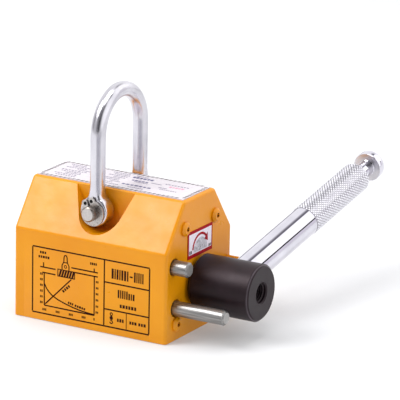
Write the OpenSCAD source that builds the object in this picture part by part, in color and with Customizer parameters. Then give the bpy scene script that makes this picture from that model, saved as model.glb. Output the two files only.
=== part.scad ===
// Permanent lifting magnet, 100 kg class: switchable rotor in a two-pole housing,
// side-mounted turning handle and a swinging shackle.
// X runs along the rotor, +X is the handle end. -Y is the printed front. Z is up.
// The origin is on the magnet's pole face, under the middle of the housing.

/* [Housing] */
// Overall length of the housing with both end covers
housing_l = 92; // [88:1:100]
// Width of the housing over the two poles
housing_w = 66; // [64:1:70]
// Height of the housing
housing_h = 72; // [70:1:76]
// Width of the flat top between the two sloping shoulders
top_w = 31; // [29:1:33]
// Height at which the sloping shoulders start
shoulder_z = 48; // [46:0.5:50]
// Radius of the housing's long edges
corner_r = 2.6; // [2.5:0.1:4]
// Radius round the outer rim of each end cover
rim_r = 1.8; // [1:0.1:2.4]
// Thickness of the end cover on the handle side
drive_cover_t = 10; // [9:0.5:12]
// Thickness of the end cover on the far side
tail_cover_t = 6; // [5:0.5:8]
// Width of the non-magnetic gap between the two poles
pole_gap = 10; // [8:0.5:12]

/* [Rotor] */
// Height of the rotor's axis above the pole face
axis_z = 25.6; // [25:0.1:27]
// Diameter of the bore that the rotor turns in
rotor_bore_d = 38; // [36:0.5:39]
// Diameter of the rotor
rotor_d = 37.4; // [35:0.1:37.4]
// Thickness of the magnets between the rotor's two poles
rotor_magnet_t = 14; // [10:1:16]
// Diameter of the shaft at the handle end
drive_shaft_d = 16; // [14:0.5:16]
// Diameter of the journal at the far end
tail_journal_d = 14; // [12:0.5:14]
// Radial clearance of the journals in their bushes
running_gap = 0.05; // [0.02:0.01:0.1]

/* [Handle] */
// Diameter of the black hub
hub_d = 30.2; // [28:0.1:31]
// Length of the hub
hub_l = 36.3; // [35:0.1:38]
// Gap between the hub and the end cover
hub_gap = 0.8; // [0.6:0.1:1.5]
// Diameter of the tapped hole in the hub's end
hub_hole_d = 10.6; // [8:0.1:11]
// Diameter of the handle rod
rod_d = 16.2; // [15:0.1:16.4]
// Distance of the rod's axis from the middle of the housing
rod_x = 63.7; // [63.5:0.1:64.5]
// Distance from the rotor's axis to the tip of the handle
handle_reach = 159.2; // [130:0.1:165]
// Angle of the handle above level when switched off
handle_raise = 10.4; // [10.4:0.1:14]
// Length of the knurled grip
knurl_l = 60.5; // [50:0.5:70]

/* [Stops and catch] */
// Diameter of the two stop pins
stop_d = 7.8; // [6:0.1:7.8]
// How far the stop pins stand out of the end cover
stop_proud = 30; // [28:0.5:32]
// Distance of each stop pin from the middle plane
stop_y = 23.5; // [23:0.1:24]
// Height of the stop pins above the pole face
stop_z = 17.4; // [17:0.1:17.4]
// Diameter of the sprung catch plunger
plunger_d = 7.9; // [7:0.1:8]
// How far the plunger stands out of the end cover
plunger_proud = 9.2; // [7:0.1:9.2]
// Travel of the plunger when it is pressed in
plunger_travel = 6; // [4:0.5:6]

/* [Shackle] */
// Diameter of the shackle's round bar
bar_d = 8; // [7:0.5:8.4]
// Distance between the middles of the two legs
leg_spacing = 42; // [42:0.5:44]
// Height of the shackle's outer top above the pole face
shackle_top_z = 124.5; // [115:0.5:130]
// Place of the shackle along the housing
shackle_x = -3; // [-4:0.5:-2]
// Height of the shackle pin above the pole face
pin_z = 60.8; // [60:0.1:62]
// Diameter of the shackle pin
pin_d = 8; // [7:0.5:8]
// Diameter of the two ears
ear_d = 16.2; // [15:0.1:17]
// Overall length of the shackle pin
pin_l = 62; // [60:0.5:64]

/* [Hidden] */
$fn = 64;
eps = 0.01;
half_l = housing_l / 2;
half_w = housing_w / 2;
// The steel poles lie between the two covers
pole_x0 = -half_l + tail_cover_t;
pole_x1 = half_l - drive_cover_t;
// Steps in a rounded corner and round a cover's rim
arc_steps = 6;
rim_steps = 5;

// Pocket for each ear: a V with a round bottom, seen along Y
pocket_r = 13.2;
pocket_x = 0.5;
pocket_z = 63.9;
pocket_left_lean = 28;
pocket_right_lean = 16;
pocket_floor_y = top_w / 2;
pocket_steps = 16;

// Heights of the fixed magnets above the rotor
stator_z0 = 46;
stator_z1 = 55;

// Spigot on each cover that centres it in the rotor bore
spigot_l = 5;
spigot_d = rotor_bore_d - 0.1;
rotor_flange_t = 5;
washer_t = 0.7;
washer_gap = 0.3;
rotor_x0 = pole_x0 + spigot_l + washer_t + washer_gap;
rotor_x1 = pole_x1 - spigot_l - washer_t - washer_gap;
rotor_core_x0 = rotor_x0 + rotor_flange_t;
rotor_core_x1 = rotor_x1 - rotor_flange_t;
rotor_magnet_h = 30;
rotor_screw_d = 4;
rotor_screw_l = 12;
rotor_screw_y = 12.5;
rotor_screw_z = 6;
bush_wall = 2;
tail_bush_l = 8;

// Hub and what fastens it
hub_x0 = half_l + hub_gap;
hub_x1 = hub_x0 + hub_l;
hub_shaft_l = 8;
rod_inner_end = -4.5;
roll_pin_d = 4;
roll_pin_x = hub_x0 + hub_shaft_l / 2;
grub_l = 4.5;
grub_x = rod_x + rod_d / 2;

// Turned end of the handle rod, measured back from its tip
knurl_d = 16.8;
tip_flange_t = 5.2;
neck_l = 12.5;
neck_d = 8.2;
knurl_end = handle_reach - tip_flange_t - neck_l;

// Cover screws: middle of each upper and lower screw, and their sizes
screw_upper = [15.3, 57.5];
screw_lower = [23, 8.8];
screw_d = 4;
screw_head_d = 7.6;
screw_head_h = 2;
screw_hex = 2.5;
screw_thread_l = 9;

// How deep the stop pins go into the steel behind the cover
stop_seat_l = 8;

// Small painted stud near the cover's rear edge
stud_d = 3.2;
stud_y = 29.4;
stud_z = 30.7;
stud_seat_l = 6;
stud_proud = 8.2;

// Catch plunger, its collar, its tail and the spring behind it
plunger_y = -25.4;
plunger_z = 39.7;
plunger_bore_d = 8.06;
collar_d = 9.6;
collar_t = 2;
collar_x = pole_x1 + collar_t;
spring_bore_d = 10;
spring_bore_l = plunger_travel + 14;
tail_d = 5;
tail_l = 12;
spring_mean_d = 7.2;
spring_wire_d = 1;
spring_turns = 7;
pin_recess_d = 9.2;
pin_recess_t = 1.6;

// Shackle pin's retaining rings
ear_t = 8.2;
ring_gap = 0.3;
ring_t = 1.1;
ring_y = leg_spacing / 2 + ear_t / 2 + ring_gap;
groove_d = 7.4;
bow_z = shackle_top_z - bar_d / 2 - leg_spacing / 2;

// ---- Shared shapes ----

function unit(v) = v / norm(v);

// Points round one corner b of a convex outline that runs a, b, c anticlockwise.
// r places the arc's centre, and the arc itself is drawn inset from it.
function corner_arc(a, b, c, r, inset) =
    let (
        to_a = unit(a - b),
        to_c = unit(c - b),
        half = acos(to_a * to_c) / 2,
        centre = b + unit(to_a + to_c) * r / sin(half),
        start = atan2(to_a[0], -to_a[1]),
        turn = 180 - 2 * half
    )
    [for (k = [0:arc_steps])
        centre + (r - inset) * [cos(start + turn * k / arc_steps), sin(start + turn * k / arc_steps)]];

// How far the rounded outline runs below the pole face, where it is ground off
ground_off = 5;

// The housing's end outline in Y and Z, before the pole face is ground
housing_corners = [
    [-half_w, -ground_off], [half_w, -ground_off], [half_w, shoulder_z],
    [top_w / 2, housing_h], [-top_w / 2, housing_h], [-half_w, shoulder_z]
];

function housing_points(inset) =
    let (n = len(housing_corners))
    [for (i = [0:n - 1])
        each corner_arc(
            housing_corners[(i + n - 1) % n], housing_corners[i], housing_corners[(i + 1) % n],
            corner_r, inset)];

// The same outline drawn in by inset, and ground flat at the pole face
module housing_outline(inset) {
    intersection() {
        polygon(housing_points(inset));
        translate([-half_w - 1, 0]) square([housing_w + 2, housing_h + 1]);
    }
}

// Extrudes a Y-Z outline from x0 to x1
module along_x(x0, x1) {
    translate([x0, 0, 0])
        rotate([90, 0, 90])
            linear_extrude(x1 - x0) children();
}

// Round bar along X
module bar_x(d, x0, x1, y = 0, z = 0) {
    translate([x0, y, z])
        rotate([0, 90, 0])
            cylinder(h = x1 - x0, d = d);
}

// Round bar along Y
module bar_y(d, y0, y1, x = 0, z = 0) {
    translate([x, y0, z])
        rotate([-90, 0, 0])
            cylinder(h = y1 - y0, d = d);
}

// Cone along X
module cone_x(d0, d1, x0, x1, y = 0, z = 0) {
    translate([x0, y, z])
        rotate([0, 90, 0])
            cylinder(h = x1 - x0, d1 = d0, d2 = d1);
}

// Puts a rotor piece on the rotor's axis, turned so that its own +Y is the handle's direction
module on_rotor() {
    translate([0, 0, axis_z])
        rotate([handle_raise, 0, 0]) children();
}

// Places of the four screws in each cover
module at_cover_screws() {
    for (side = [-1, 1])
        for (place = [screw_upper, screw_lower])
            translate([0, side * place[0], place[1]]) children();
}

// ---- Housing ----

// The ear pocket's outline in X and Z, open at the top
function pocket_points() =
    let (
        from = 180 + pocket_left_lean,
        to = 360 - pocket_right_lean,
        low_left = [pocket_x + pocket_r * cos(from), pocket_z + pocket_r * sin(from)],
        low_right = [pocket_x + pocket_r * cos(to), pocket_z + pocket_r * sin(to)],
        top_z = housing_h + 2
    )
    concat(
        [[low_left[0] - (top_z - low_left[1]) * tan(pocket_left_lean), top_z]],
        [for (k = [0:pocket_steps])
            [pocket_x + pocket_r * cos(from + (to - from) * k / pocket_steps),
             pocket_z + pocket_r * sin(from + (to - from) * k / pocket_steps)]],
        [[low_right[0] + (top_z - low_right[1]) * tan(pocket_right_lean), top_z]]
    );

// The ear pocket of the pole on the given side of the housing
module ear_pocket(side) {
    translate([0, side > 0 ? half_w + 1 : -pocket_floor_y, 0])
        rotate([90, 0, 0])
            linear_extrude(half_w + 1 - pocket_floor_y) polygon(pocket_points());
}

// Blank of one steel pole: the housing outline on one side of the gap
module pole_blank(side) {
    along_x(pole_x0, pole_x1)
        intersection() {
            housing_outline(0);
            translate([side > 0 ? pole_gap / 2 : -half_w - 1, -1])
                square([half_w + 1 - pole_gap / 2, housing_h + 2]);
        }
}

// What both poles have cut out of them
module pole_cuts(side) {
    bar_x(rotor_bore_d, pole_x0 - 1, pole_x1 + 1, 0, axis_z);
    ear_pocket(side);
    bar_y(pin_d, -half_w, half_w, shackle_x, pin_z);
    at_cover_screws() {
        bar_x(screw_d, pole_x1 - screw_thread_l, pole_x1 + 1);
        bar_x(screw_d, pole_x0 - 1, pole_x0 + screw_thread_l);
    }
    bar_x(stop_d, pole_x1 - stop_seat_l, pole_x1 + 1, side * stop_y, stop_z);
}

module front_pole() {
    color("orange")
        difference() {
            pole_blank(-1);
            pole_cuts(-1);
            bar_x(spring_bore_d, pole_x1 - spring_bore_l, pole_x1 + 1, plunger_y, plunger_z);
        }
}

module rear_pole() {
    color("orange")
        difference() {
            pole_blank(1);
            pole_cuts(1);
        }
}

// Non-magnetic bar that closes the gap under the rotor
module bottom_gap_bar() {
    color("darkkhaki")
        difference() {
            translate([pole_x0, -pole_gap / 2, 0])
                cube([pole_x1 - pole_x0, pole_gap, axis_z - rotor_bore_d / 2 + 2]);
            bar_x(rotor_bore_d, pole_x0 - 1, pole_x1 + 1, 0, axis_z);
        }
}

// Non-magnetic bar over the fixed magnets, which carries the middle of the shackle pin
module top_gap_bar() {
    color("orange")
        difference() {
            translate([pole_x0, -pole_gap / 2, stator_z1])
                cube([pole_x1 - pole_x0, pole_gap, housing_h - stator_z1]);
            bar_y(pin_d, -half_w, half_w, shackle_x, pin_z);
        }
}

// Three fixed magnet blocks between the poles
module stator_magnets() {
    count = 3;
    space = 0.2;
    pitch = (pole_x1 - pole_x0) / count;
    color("dimgray")
        for (i = [0:count - 1])
            translate([pole_x0 + i * pitch + space / 2, -pole_gap / 2, stator_z0])
                cube([pitch - space, pole_gap, stator_z1 - stator_z0]);
}

// Solid cover plate with a rounded outer rim, from its inner face to its outer face.
// Each step of the rim is a smaller outline that reaches further out.
module cover_plate(x_inner, x_outer) {
    outward = x_outer > x_inner ? 1 : -1;
    hull()
        for (k = [0:rim_steps]) {
            angle = 90 * k / rim_steps;
            x = x_outer - outward * rim_r * (1 - sin(angle));
            along_x(min(x_inner, x), max(x_inner, x))
                housing_outline(rim_r * (1 - cos(angle)));
        }
}

module drive_cover() {
    color("orange")
        difference() {
            union() {
                cover_plate(pole_x1, half_l);
                bar_x(spigot_d, pole_x1 - spigot_l, pole_x1 + 1, 0, axis_z);
            }
            bar_x(drive_shaft_d + 2 * bush_wall, pole_x1 - spigot_l - 1, half_l + 1, 0, axis_z);
            at_cover_screws() bar_x(screw_d, pole_x1 - 1, half_l + 1);
            for (side = [-1, 1]) {
                bar_x(stop_d, pole_x1 - 1, half_l + 1, side * stop_y, stop_z);
                bar_x(pin_recess_d, half_l - pin_recess_t, half_l + 1, side * stop_y, stop_z);
            }
            bar_x(plunger_bore_d, pole_x1 - 1, half_l + 1, plunger_y, plunger_z);
            bar_x(pin_recess_d, half_l - pin_recess_t, half_l + 1, plunger_y, plunger_z);
            bar_x(spring_bore_d, pole_x1 - 1, collar_x + collar_t, plunger_y, plunger_z);
            bar_x(stud_d, half_l - stud_seat_l, half_l + 1, stud_y, stud_z);
        }
}

module tail_cover() {
    color("orange")
        difference() {
            union() {
                cover_plate(pole_x0, -half_l);
                bar_x(spigot_d, pole_x0 - 1, pole_x0 + spigot_l, 0, axis_z);
            }
            bar_x(tail_journal_d + 2 * bush_wall,
                pole_x0 + spigot_l - tail_bush_l, pole_x0 + spigot_l + 1, 0, axis_z);
            at_cover_screws() bar_x(screw_d, -half_l - 1, pole_x0 + 1);
        }
}

// Button-head screw lying along X with its head's seat at x = 0 and its thread running to -X
module cover_screw(grip) {
    rim_h = 0.9;
    dome_d = 5;
    difference() {
        union() {
            bar_x(screw_d, -grip - screw_thread_l, eps);
            bar_x(screw_head_d, 0, rim_h);
            cone_x(screw_head_d, dome_d, rim_h, screw_head_h);
        }
        translate([screw_head_h - 1.3, 0, 0])
            rotate([0, 90, 0])
                cylinder(h = 2, d = screw_hex / cos(30), $fn = 6);
    }
}

module drive_cover_screws() {
    color("darkorange")
        translate([half_l, 0, 0])
            at_cover_screws() cover_screw(drive_cover_t);
}

module tail_cover_screws() {
    color("darkorange")
        translate([-half_l, 0, 0])
            mirror([1, 0, 0])
                at_cover_screws() cover_screw(tail_cover_t);
}

// ---- Bearings ----

// Plain bronze bush along X on the rotor's axis
module bush(journal_d, x0, x1) {
    color("peru")
        difference() {
            bar_x(journal_d + 2 * bush_wall, x0, x1, 0, axis_z);
            bar_x(journal_d + 2 * running_gap, x0 - 1, x1 + 1, 0, axis_z);
        }
}

module drive_bush() {
    bush(drive_shaft_d, pole_x1 - spigot_l, half_l);
}

module tail_bush() {
    bush(tail_journal_d, pole_x0 + spigot_l - tail_bush_l, pole_x0 + spigot_l);
}

// Thrust washers on the inner faces of the two spigots
module thrust_washers() {
    washer_d = 30;
    color("peru")
        difference() {
            union() {
                bar_x(washer_d, pole_x0 + spigot_l, pole_x0 + spigot_l + washer_t, 0, axis_z);
                bar_x(washer_d, pole_x1 - spigot_l - washer_t, pole_x1 - spigot_l, 0, axis_z);
            }
            bar_x(drive_shaft_d + 1, pole_x0, pole_x1, 0, axis_z);
        }
}

// ---- Rotor ----

// Steel segment of the rotor on one side of its magnets
module rotor_pole(side) {
    color("silver")
        on_rotor()
            difference() {
                bar_x(rotor_d, rotor_core_x0, rotor_core_x1);
                translate([rotor_core_x0 - 1, side > 0 ? -rotor_d : -rotor_magnet_t / 2, -rotor_d])
                    cube([rotor_core_x1 - rotor_core_x0 + 2,
                        rotor_d + rotor_magnet_t / 2, 2 * rotor_d]);
                for (z = [-rotor_screw_z, rotor_screw_z]) {
                    bar_x(rotor_screw_d, rotor_core_x0 - 1,
                        rotor_core_x0 + rotor_screw_l, side * rotor_screw_y, z);
                    bar_x(rotor_screw_d, rotor_core_x1 - rotor_screw_l,
                        rotor_core_x1 + 1, side * rotor_screw_y, z);
                }
            }
}

module rotor_pole_a() {
    rotor_pole(1);
}

module rotor_pole_b() {
    rotor_pole(-1);
}

// Three magnet blocks side by side along the rotor
module rotor_magnets() {
    count = 3;
    space = 0.2;
    pitch = (rotor_core_x1 - rotor_core_x0) / count;
    color("dimgray")
        on_rotor()
            for (i = [0:count - 1])
                translate([rotor_core_x0 + i * pitch + space / 2,
                    -rotor_magnet_t / 2, -rotor_magnet_h / 2])
                    cube([pitch - space, rotor_magnet_t, rotor_magnet_h]);
}

// Non-magnetic bars that close the rotor's round shape over and under the magnets
module rotor_side_bars() {
    color("lightgray")
        on_rotor()
            intersection() {
                bar_x(rotor_d, rotor_core_x0, rotor_core_x1);
                for (side = [-1, 1])
                    translate([rotor_core_x0, -rotor_magnet_t / 2,
                        side > 0 ? rotor_magnet_h / 2 : -rotor_magnet_h / 2 - 10])
                        cube([rotor_core_x1 - rotor_core_x0, rotor_magnet_t, 10]);
            }
}

// Countersunk places of the rotor's screws at one end
module at_rotor_screws() {
    for (y = [-rotor_screw_y, rotor_screw_y])
        for (z = [-rotor_screw_z, rotor_screw_z])
            translate([0, y, z]) children();
}

// Countersunk screw along X, its head flush with x = 0 and its thread running to -X
module flush_screw() {
    head_d = 7.6;
    head_h = 2;
    bar_x(rotor_screw_d, -rotor_flange_t - rotor_screw_l, -head_h + eps);
    cone_x(rotor_screw_d, head_d, -head_h, 0);
}

module flush_screw_set() {
    translate([rotor_x1, 0, 0])
        at_rotor_screws() flush_screw();
    translate([rotor_x0, 0, 0])
        mirror([1, 0, 0])
            at_rotor_screws() flush_screw();
}

// Socket in the middle of each screw head
module rotor_screws() {
    color("dimgray")
        on_rotor()
            difference() {
                flush_screw_set();
                for (x = [rotor_x0, rotor_x1])
                    translate([x, 0, 0])
                        at_rotor_screws()
                            translate([-1.2, 0, 0])
                                rotate([0, 90, 0])
                                    cylinder(h = 2.4, d = screw_hex / cos(30), $fn = 6);
            }
}

module drive_shaft() {
    color("silver")
        on_rotor()
            difference() {
                union() {
                    bar_x(rotor_d, rotor_core_x1, rotor_x1);
                    bar_x(drive_shaft_d, rotor_x1 - 1, hub_x0 + hub_shaft_l);
                }
                flush_screw_set();
                roll_pin_shape();
            }
}

module tail_shaft() {
    color("silver")
        on_rotor()
            difference() {
                union() {
                    bar_x(rotor_d, rotor_x0, rotor_core_x0);
                    bar_x(tail_journal_d, pole_x0 + spigot_l - tail_bush_l + 0.5, rotor_x0 + 1);
                }
                flush_screw_set();
            }
}

// ---- Hub and handle ----

// The roll pin that locks the hub to the shaft, entering on the side away from the front
module roll_pin_shape() {
    depth = 6;
    translate([roll_pin_x, 0, -hub_d / 2 + 0.4])
        cylinder(h = hub_d / 2 - 0.4 + depth, d = roll_pin_d);
}

module hub_roll_pin() {
    color("gray")
        on_rotor() roll_pin_shape();
}

module hub() {
    inner_bevel = 2.2;
    outer_bevel = 1.3;
    thread_d = hub_hole_d + 1.4;
    color([0.13, 0.12, 0.12])
        on_rotor()
            difference() {
                union() {
                    cone_x(hub_d - 2 * inner_bevel, hub_d, hub_x0, hub_x0 + inner_bevel);
                    bar_x(hub_d, hub_x0 + inner_bevel, hub_x1 - outer_bevel);
                    cone_x(hub_d, hub_d - 2 * outer_bevel, hub_x1 - outer_bevel, hub_x1);
                }
                bar_x(drive_shaft_d, hub_x0 - 1, hub_x0 + hub_shaft_l);
                bar_y(rod_d, rod_inner_end, hub_d, rod_x);
                bar_x(hub_hole_d, grub_x - 1, hub_x1 + 1);
                cone_x(hub_hole_d, thread_d, hub_x1 - 0.7, hub_x1 + eps);
                roll_pin_shape();
                translate([roll_pin_x, 0, -hub_d])
                    cylinder(h = hub_d / 2 + 1, d = roll_pin_d);
            }
}

// Socket grub screw in the hub's end hole, which clamps the handle rod
module rod_lock_screw() {
    socket_w = 5;
    color("dimgray")
        on_rotor()
            difference() {
                bar_x(hub_hole_d, grub_x, grub_x + grub_l);
                translate([grub_x + grub_l - 3, 0, 0])
                    rotate([0, 90, 0])
                        cylinder(h = 4, d = socket_w / cos(30), $fn = 6);
            }
}

module handle_rod() {
    bevel = 1.6;
    color("gainsboro")
        on_rotor()
            translate([rod_x, 0, 0])
                rotate([-90, 0, 0])
                    rotate_extrude()
                        polygon([
                            [0, rod_inner_end],
                            [rod_d / 2, rod_inner_end],
                            [rod_d / 2, knurl_end - knurl_l],
                            [knurl_d / 2, knurl_end - knurl_l + 0.4],
                            [knurl_d / 2, knurl_end - bevel],
                            [knurl_d / 2 - bevel, knurl_end],
                            [neck_d / 2, knurl_end],
                            [neck_d / 2, handle_reach - tip_flange_t],
                            [rod_d / 2 - 0.5, handle_reach - tip_flange_t],
                            [rod_d / 2, handle_reach - tip_flange_t + 0.5],
                            [rod_d / 2, handle_reach - 0.7],
                            [rod_d / 2 - 0.7, handle_reach],
                            [0, handle_reach]
                        ]);
}

// ---- Stops and catch ----

// Fixed stop pin on one side of the drive end
module stop_pin(side) {
    bevel = 1;
    color("silver") {
        bar_x(stop_d, pole_x1 - stop_seat_l, half_l + stop_proud - bevel, side * stop_y, stop_z);
        cone_x(stop_d, stop_d - 2 * bevel,
            half_l + stop_proud - bevel, half_l + stop_proud, side * stop_y, stop_z);
    }
}

module on_stop_pin() {
    stop_pin(-1);
}

module off_stop_pin() {
    stop_pin(1);
}

module plunger() {
    bevel = 0.8;
    color("silver")
        translate([0, plunger_y, plunger_z]) {
            bar_x(tail_d, collar_x - tail_l, collar_x + eps);
            bar_x(collar_d, collar_x, collar_x + collar_t);
            bar_x(plunger_d, collar_x + collar_t - eps, half_l + plunger_proud - bevel);
            cone_x(plunger_d, plunger_d - 2 * bevel,
                half_l + plunger_proud - bevel, half_l + plunger_proud);
        }
}

// Coil spring between the bottom of its bore and the plunger's collar: a stack of level rings
// stands for the turns
module plunger_spring() {
    x0 = pole_x1 - spring_bore_l + spring_wire_d / 2;
    x1 = collar_x - spring_wire_d / 2;
    color("gray")
        for (i = [0:spring_turns])
            translate([x0 + (x1 - x0) * i / spring_turns, plunger_y, plunger_z])
                rotate([0, 90, 0])
                    rotate_extrude()
                        translate([spring_mean_d / 2, 0]) circle(d = spring_wire_d);
}

module painted_stud() {
    color("darkorange")
        bar_x(stud_d, half_l - stud_seat_l, half_l + stud_proud, stud_y, stud_z);
}

// ---- Shackle ----

module shackle() {
    color("gainsboro")
        difference() {
            translate([shackle_x, 0, 0])
                union() {
                    for (side = [-1, 1])
                        translate([0, side * leg_spacing / 2, 0]) {
                            translate([0, 0, pin_z]) cylinder(h = bow_z - pin_z, d = bar_d);
                            bar_y(ear_d, -ear_t / 2, ear_t / 2, 0, pin_z);
                        }
                    translate([0, 0, bow_z])
                        rotate([90, 0, 90])
                            rotate_extrude(angle = 180)
                                translate([leg_spacing / 2, 0]) circle(d = bar_d);
                }
            bar_y(pin_d + 2 * running_gap, -half_w, half_w, shackle_x, pin_z);
        }
}

module shackle_pin() {
    bevel = 0.7;
    color("silver")
        difference() {
            bar_y(pin_d, -pin_l / 2, pin_l / 2, shackle_x, pin_z);
            for (side = [-1, 1])
                difference() {
                    bar_y(pin_d + 2, side * (ring_y + ring_t / 2) - ring_t / 2,
                        side * (ring_y + ring_t / 2) + ring_t / 2, shackle_x, pin_z);
                    bar_y(groove_d, -pin_l, pin_l, shackle_x, pin_z);
                }
            for (side = [-1, 1])
                difference() {
                    bar_y(pin_d + 2, side * pin_l / 2 - bevel / 2 - side * bevel / 2,
                        side * pin_l / 2 + bevel / 2 - side * bevel / 2, shackle_x, pin_z);
                    translate([shackle_x, side * pin_l / 2, pin_z])
                        rotate([side * 90, 0, 0])
                            cylinder(h = bevel, d1 = pin_d - 2 * bevel, d2 = pin_d);
                }
        }
}

// Open spring ring with two eyed lugs, lying in X and Z
module retaining_ring() {
    ring_d = 13.4;
    offset_down = 0.5;
    lug_r = 6;
    lug_d = 4;
    eye_d = 1.9;
    opening = 113;
    lug_spread = 19;
    difference() {
        union() {
            translate(-offset_down * [cos(opening), sin(opening)]) circle(d = ring_d);
            for (turn = [-lug_spread, lug_spread])
                rotate(opening + turn)
                    translate([lug_r, 0]) circle(d = lug_d);
        }
        circle(d = groove_d);
        rotate(opening)
            translate([0, -0.7]) square([ring_d, 1.4]);
        for (turn = [-lug_spread, lug_spread])
            rotate(opening + turn)
                translate([lug_r, 0]) circle(d = eye_d);
    }
}

module retaining_rings() {
    color("silver")
        for (side = [-1, 1])
            translate([shackle_x, side * (ring_y + ring_t / 2) + ring_t / 2, pin_z])
                rotate([90, 0, 0])
                    linear_extrude(ring_t) retaining_ring();
}

// ---- Plates ----

module top_plate() {
    margin_x = 2.2;
    margin_y = 1.4;
    plate_t = 0.5;
    color("white")
        translate([-half_l + margin_x, -top_w / 2 + margin_y, housing_h])
            cube([housing_l - 2 * margin_x, top_w - 2 * margin_y, plate_t]);
}

module turn_label() {
    label_w = 25;
    label_h = 14.4;
    label_z = 40.1;
    label_t = 0.3;
    color("crimson")
        translate([half_l, -label_w / 2, label_z])
            cube([label_t, label_w, label_h]);
}

front_pole();
rear_pole();
bottom_gap_bar();
top_gap_bar();
stator_magnets();
drive_cover();
tail_cover();
drive_cover_screws();
tail_cover_screws();
drive_bush();
tail_bush();
thrust_washers();
rotor_pole_a();
rotor_pole_b();
rotor_magnets();
rotor_side_bars();
drive_shaft();
tail_shaft();
rotor_screws();
hub();
hub_roll_pin();
rod_lock_screw();
handle_rod();
on_stop_pin();
off_stop_pin();
plunger();
plunger_spring();
painted_stud();
shackle();
shackle_pin();
retaining_rings();
top_plate();
turn_label();
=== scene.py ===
"""The looks of the lifting magnet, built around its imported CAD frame.

Everything is in metres in the CAD's frame: X along the rotor with the handle end at +X,
-Y the printed front, Z up, and the origin on the pole face.
"""

import math

import bmesh
import bpy
from mathutils import Matrix, Vector

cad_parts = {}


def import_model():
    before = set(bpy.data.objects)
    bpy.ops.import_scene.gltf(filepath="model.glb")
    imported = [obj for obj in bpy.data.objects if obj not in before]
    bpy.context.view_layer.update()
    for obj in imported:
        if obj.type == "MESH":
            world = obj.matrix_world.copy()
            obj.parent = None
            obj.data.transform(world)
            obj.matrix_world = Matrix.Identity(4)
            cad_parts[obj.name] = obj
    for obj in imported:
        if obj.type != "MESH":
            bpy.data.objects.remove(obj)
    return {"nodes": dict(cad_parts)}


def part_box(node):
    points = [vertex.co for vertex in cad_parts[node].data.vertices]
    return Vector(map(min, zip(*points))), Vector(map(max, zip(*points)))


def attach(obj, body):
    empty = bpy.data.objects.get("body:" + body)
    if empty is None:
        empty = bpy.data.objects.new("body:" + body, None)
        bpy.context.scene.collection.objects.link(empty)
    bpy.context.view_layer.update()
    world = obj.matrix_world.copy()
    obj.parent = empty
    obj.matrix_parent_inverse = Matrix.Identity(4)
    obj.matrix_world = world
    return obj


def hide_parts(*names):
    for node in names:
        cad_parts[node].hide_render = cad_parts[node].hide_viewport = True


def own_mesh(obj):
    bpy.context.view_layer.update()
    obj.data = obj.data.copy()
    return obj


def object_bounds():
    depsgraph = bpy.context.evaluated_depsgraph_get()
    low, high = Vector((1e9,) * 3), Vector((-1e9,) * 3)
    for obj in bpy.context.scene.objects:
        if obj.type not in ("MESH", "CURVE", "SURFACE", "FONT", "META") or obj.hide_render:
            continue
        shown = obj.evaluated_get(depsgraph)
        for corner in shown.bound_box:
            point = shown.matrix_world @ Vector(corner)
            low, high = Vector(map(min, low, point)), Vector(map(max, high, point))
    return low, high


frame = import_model()
CAD_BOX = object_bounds()
NODES = frame["nodes"]
MM = 0.001


# ---- Places taken from the CAD ----


def span(node, axis):
    """Lowest and highest value of a node along one axis, in millimetres."""
    low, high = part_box(node)
    return low[axis] / MM, high[axis] / MM


HUB_X1 = span("hub", 0)[1]
AXIS_Z = sum(span("hub", 2)) / 2
HUB_R = span("hub", 2)[1] - AXIS_Z
ROD_X = sum(span("handle_rod", 0)) / 2
FRONT_Y = span("front_pole", 1)[0]
LABEL_X = span("turn_label", 0)[1]
LABEL_Y = span("turn_label", 1)
LABEL_Z = span("turn_label", 2)
PLATE_X = span("top_plate", 0)
PLATE_Y = span("top_plate", 1)
PLATE_Z = span("top_plate", 2)[1]
SEAMS_X = span("front_pole", 0)

# The handle's own sizes, as in the CAD: its rise above level at rest, its reach and radii
HANDLE_RAISE = math.radians(10.4)
HANDLE_REACH = 159.2
ROD_R = 8.1
KNURL_R = 8.4
KNURL_DEPTH = 0.3


# ---- Shader graphs ----


class Graph:
    """Adds nodes to one shader tree and joins them; scales are per metre, depths in metres."""

    def __init__(self, tree):
        self.tree = tree
        tree.nodes.clear()

    def add(self, kind, inputs=None, **settings):
        node = self.tree.nodes.new("ShaderNode" + kind)
        for key, value in settings.items():
            setattr(node, key, value)
        for key, value in (inputs or {}).items():
            self.put(node, key, value)
        return node

    def put(self, node, key, value):
        if isinstance(value, bpy.types.NodeSocket):
            self.tree.links.new(value, node.inputs[key])
        else:
            node.inputs[key].default_value = value

    def stretch(self, where, scale):
        return self.add("Mapping", {"Vector": where, "Scale": scale}).outputs[0]

    def noise(self, where, scale=1.0, detail=3.0):
        inputs = {"Vector": where, "Scale": scale, "Detail": detail}
        return self.add("TexNoise", inputs).outputs["Fac"]

    def cells(self, where, scale):
        inputs = {"Vector": where, "Scale": scale}
        return self.add("TexVoronoi", inputs).outputs["Distance"]

    def level(self, value, low, high, at_low=0.0, at_high=1.0):
        inputs = {"Value": value, "From Min": low, "From Max": high}
        inputs.update({"To Min": at_low, "To Max": at_high})
        return self.add("MapRange", inputs).outputs[0]

    def maths(self, operation, a, b):
        return self.add("Math", {0: a, 1: b}, operation=operation).outputs[0]

    def blend(self, share, a, b):
        inputs = {0: share, 6: a, 7: b}
        return self.add("Mix", inputs, data_type="RGBA").outputs[2]

    def bump(self, height, depth, under=None):
        inputs = {"Height": height, "Distance": depth}
        if under is not None:
            inputs["Normal"] = under
        return self.add("Bump", inputs).outputs[0]


def rgb(red, green, blue):
    """A display colour from 0 to 255 as the linear colour that shaders take."""

    def linear(value):
        value /= 255
        return value / 12.92 if value <= 0.04045 else ((value + 0.055) / 1.055) ** 2.4

    return (linear(red), linear(green), linear(blue), 1.0)


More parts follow.
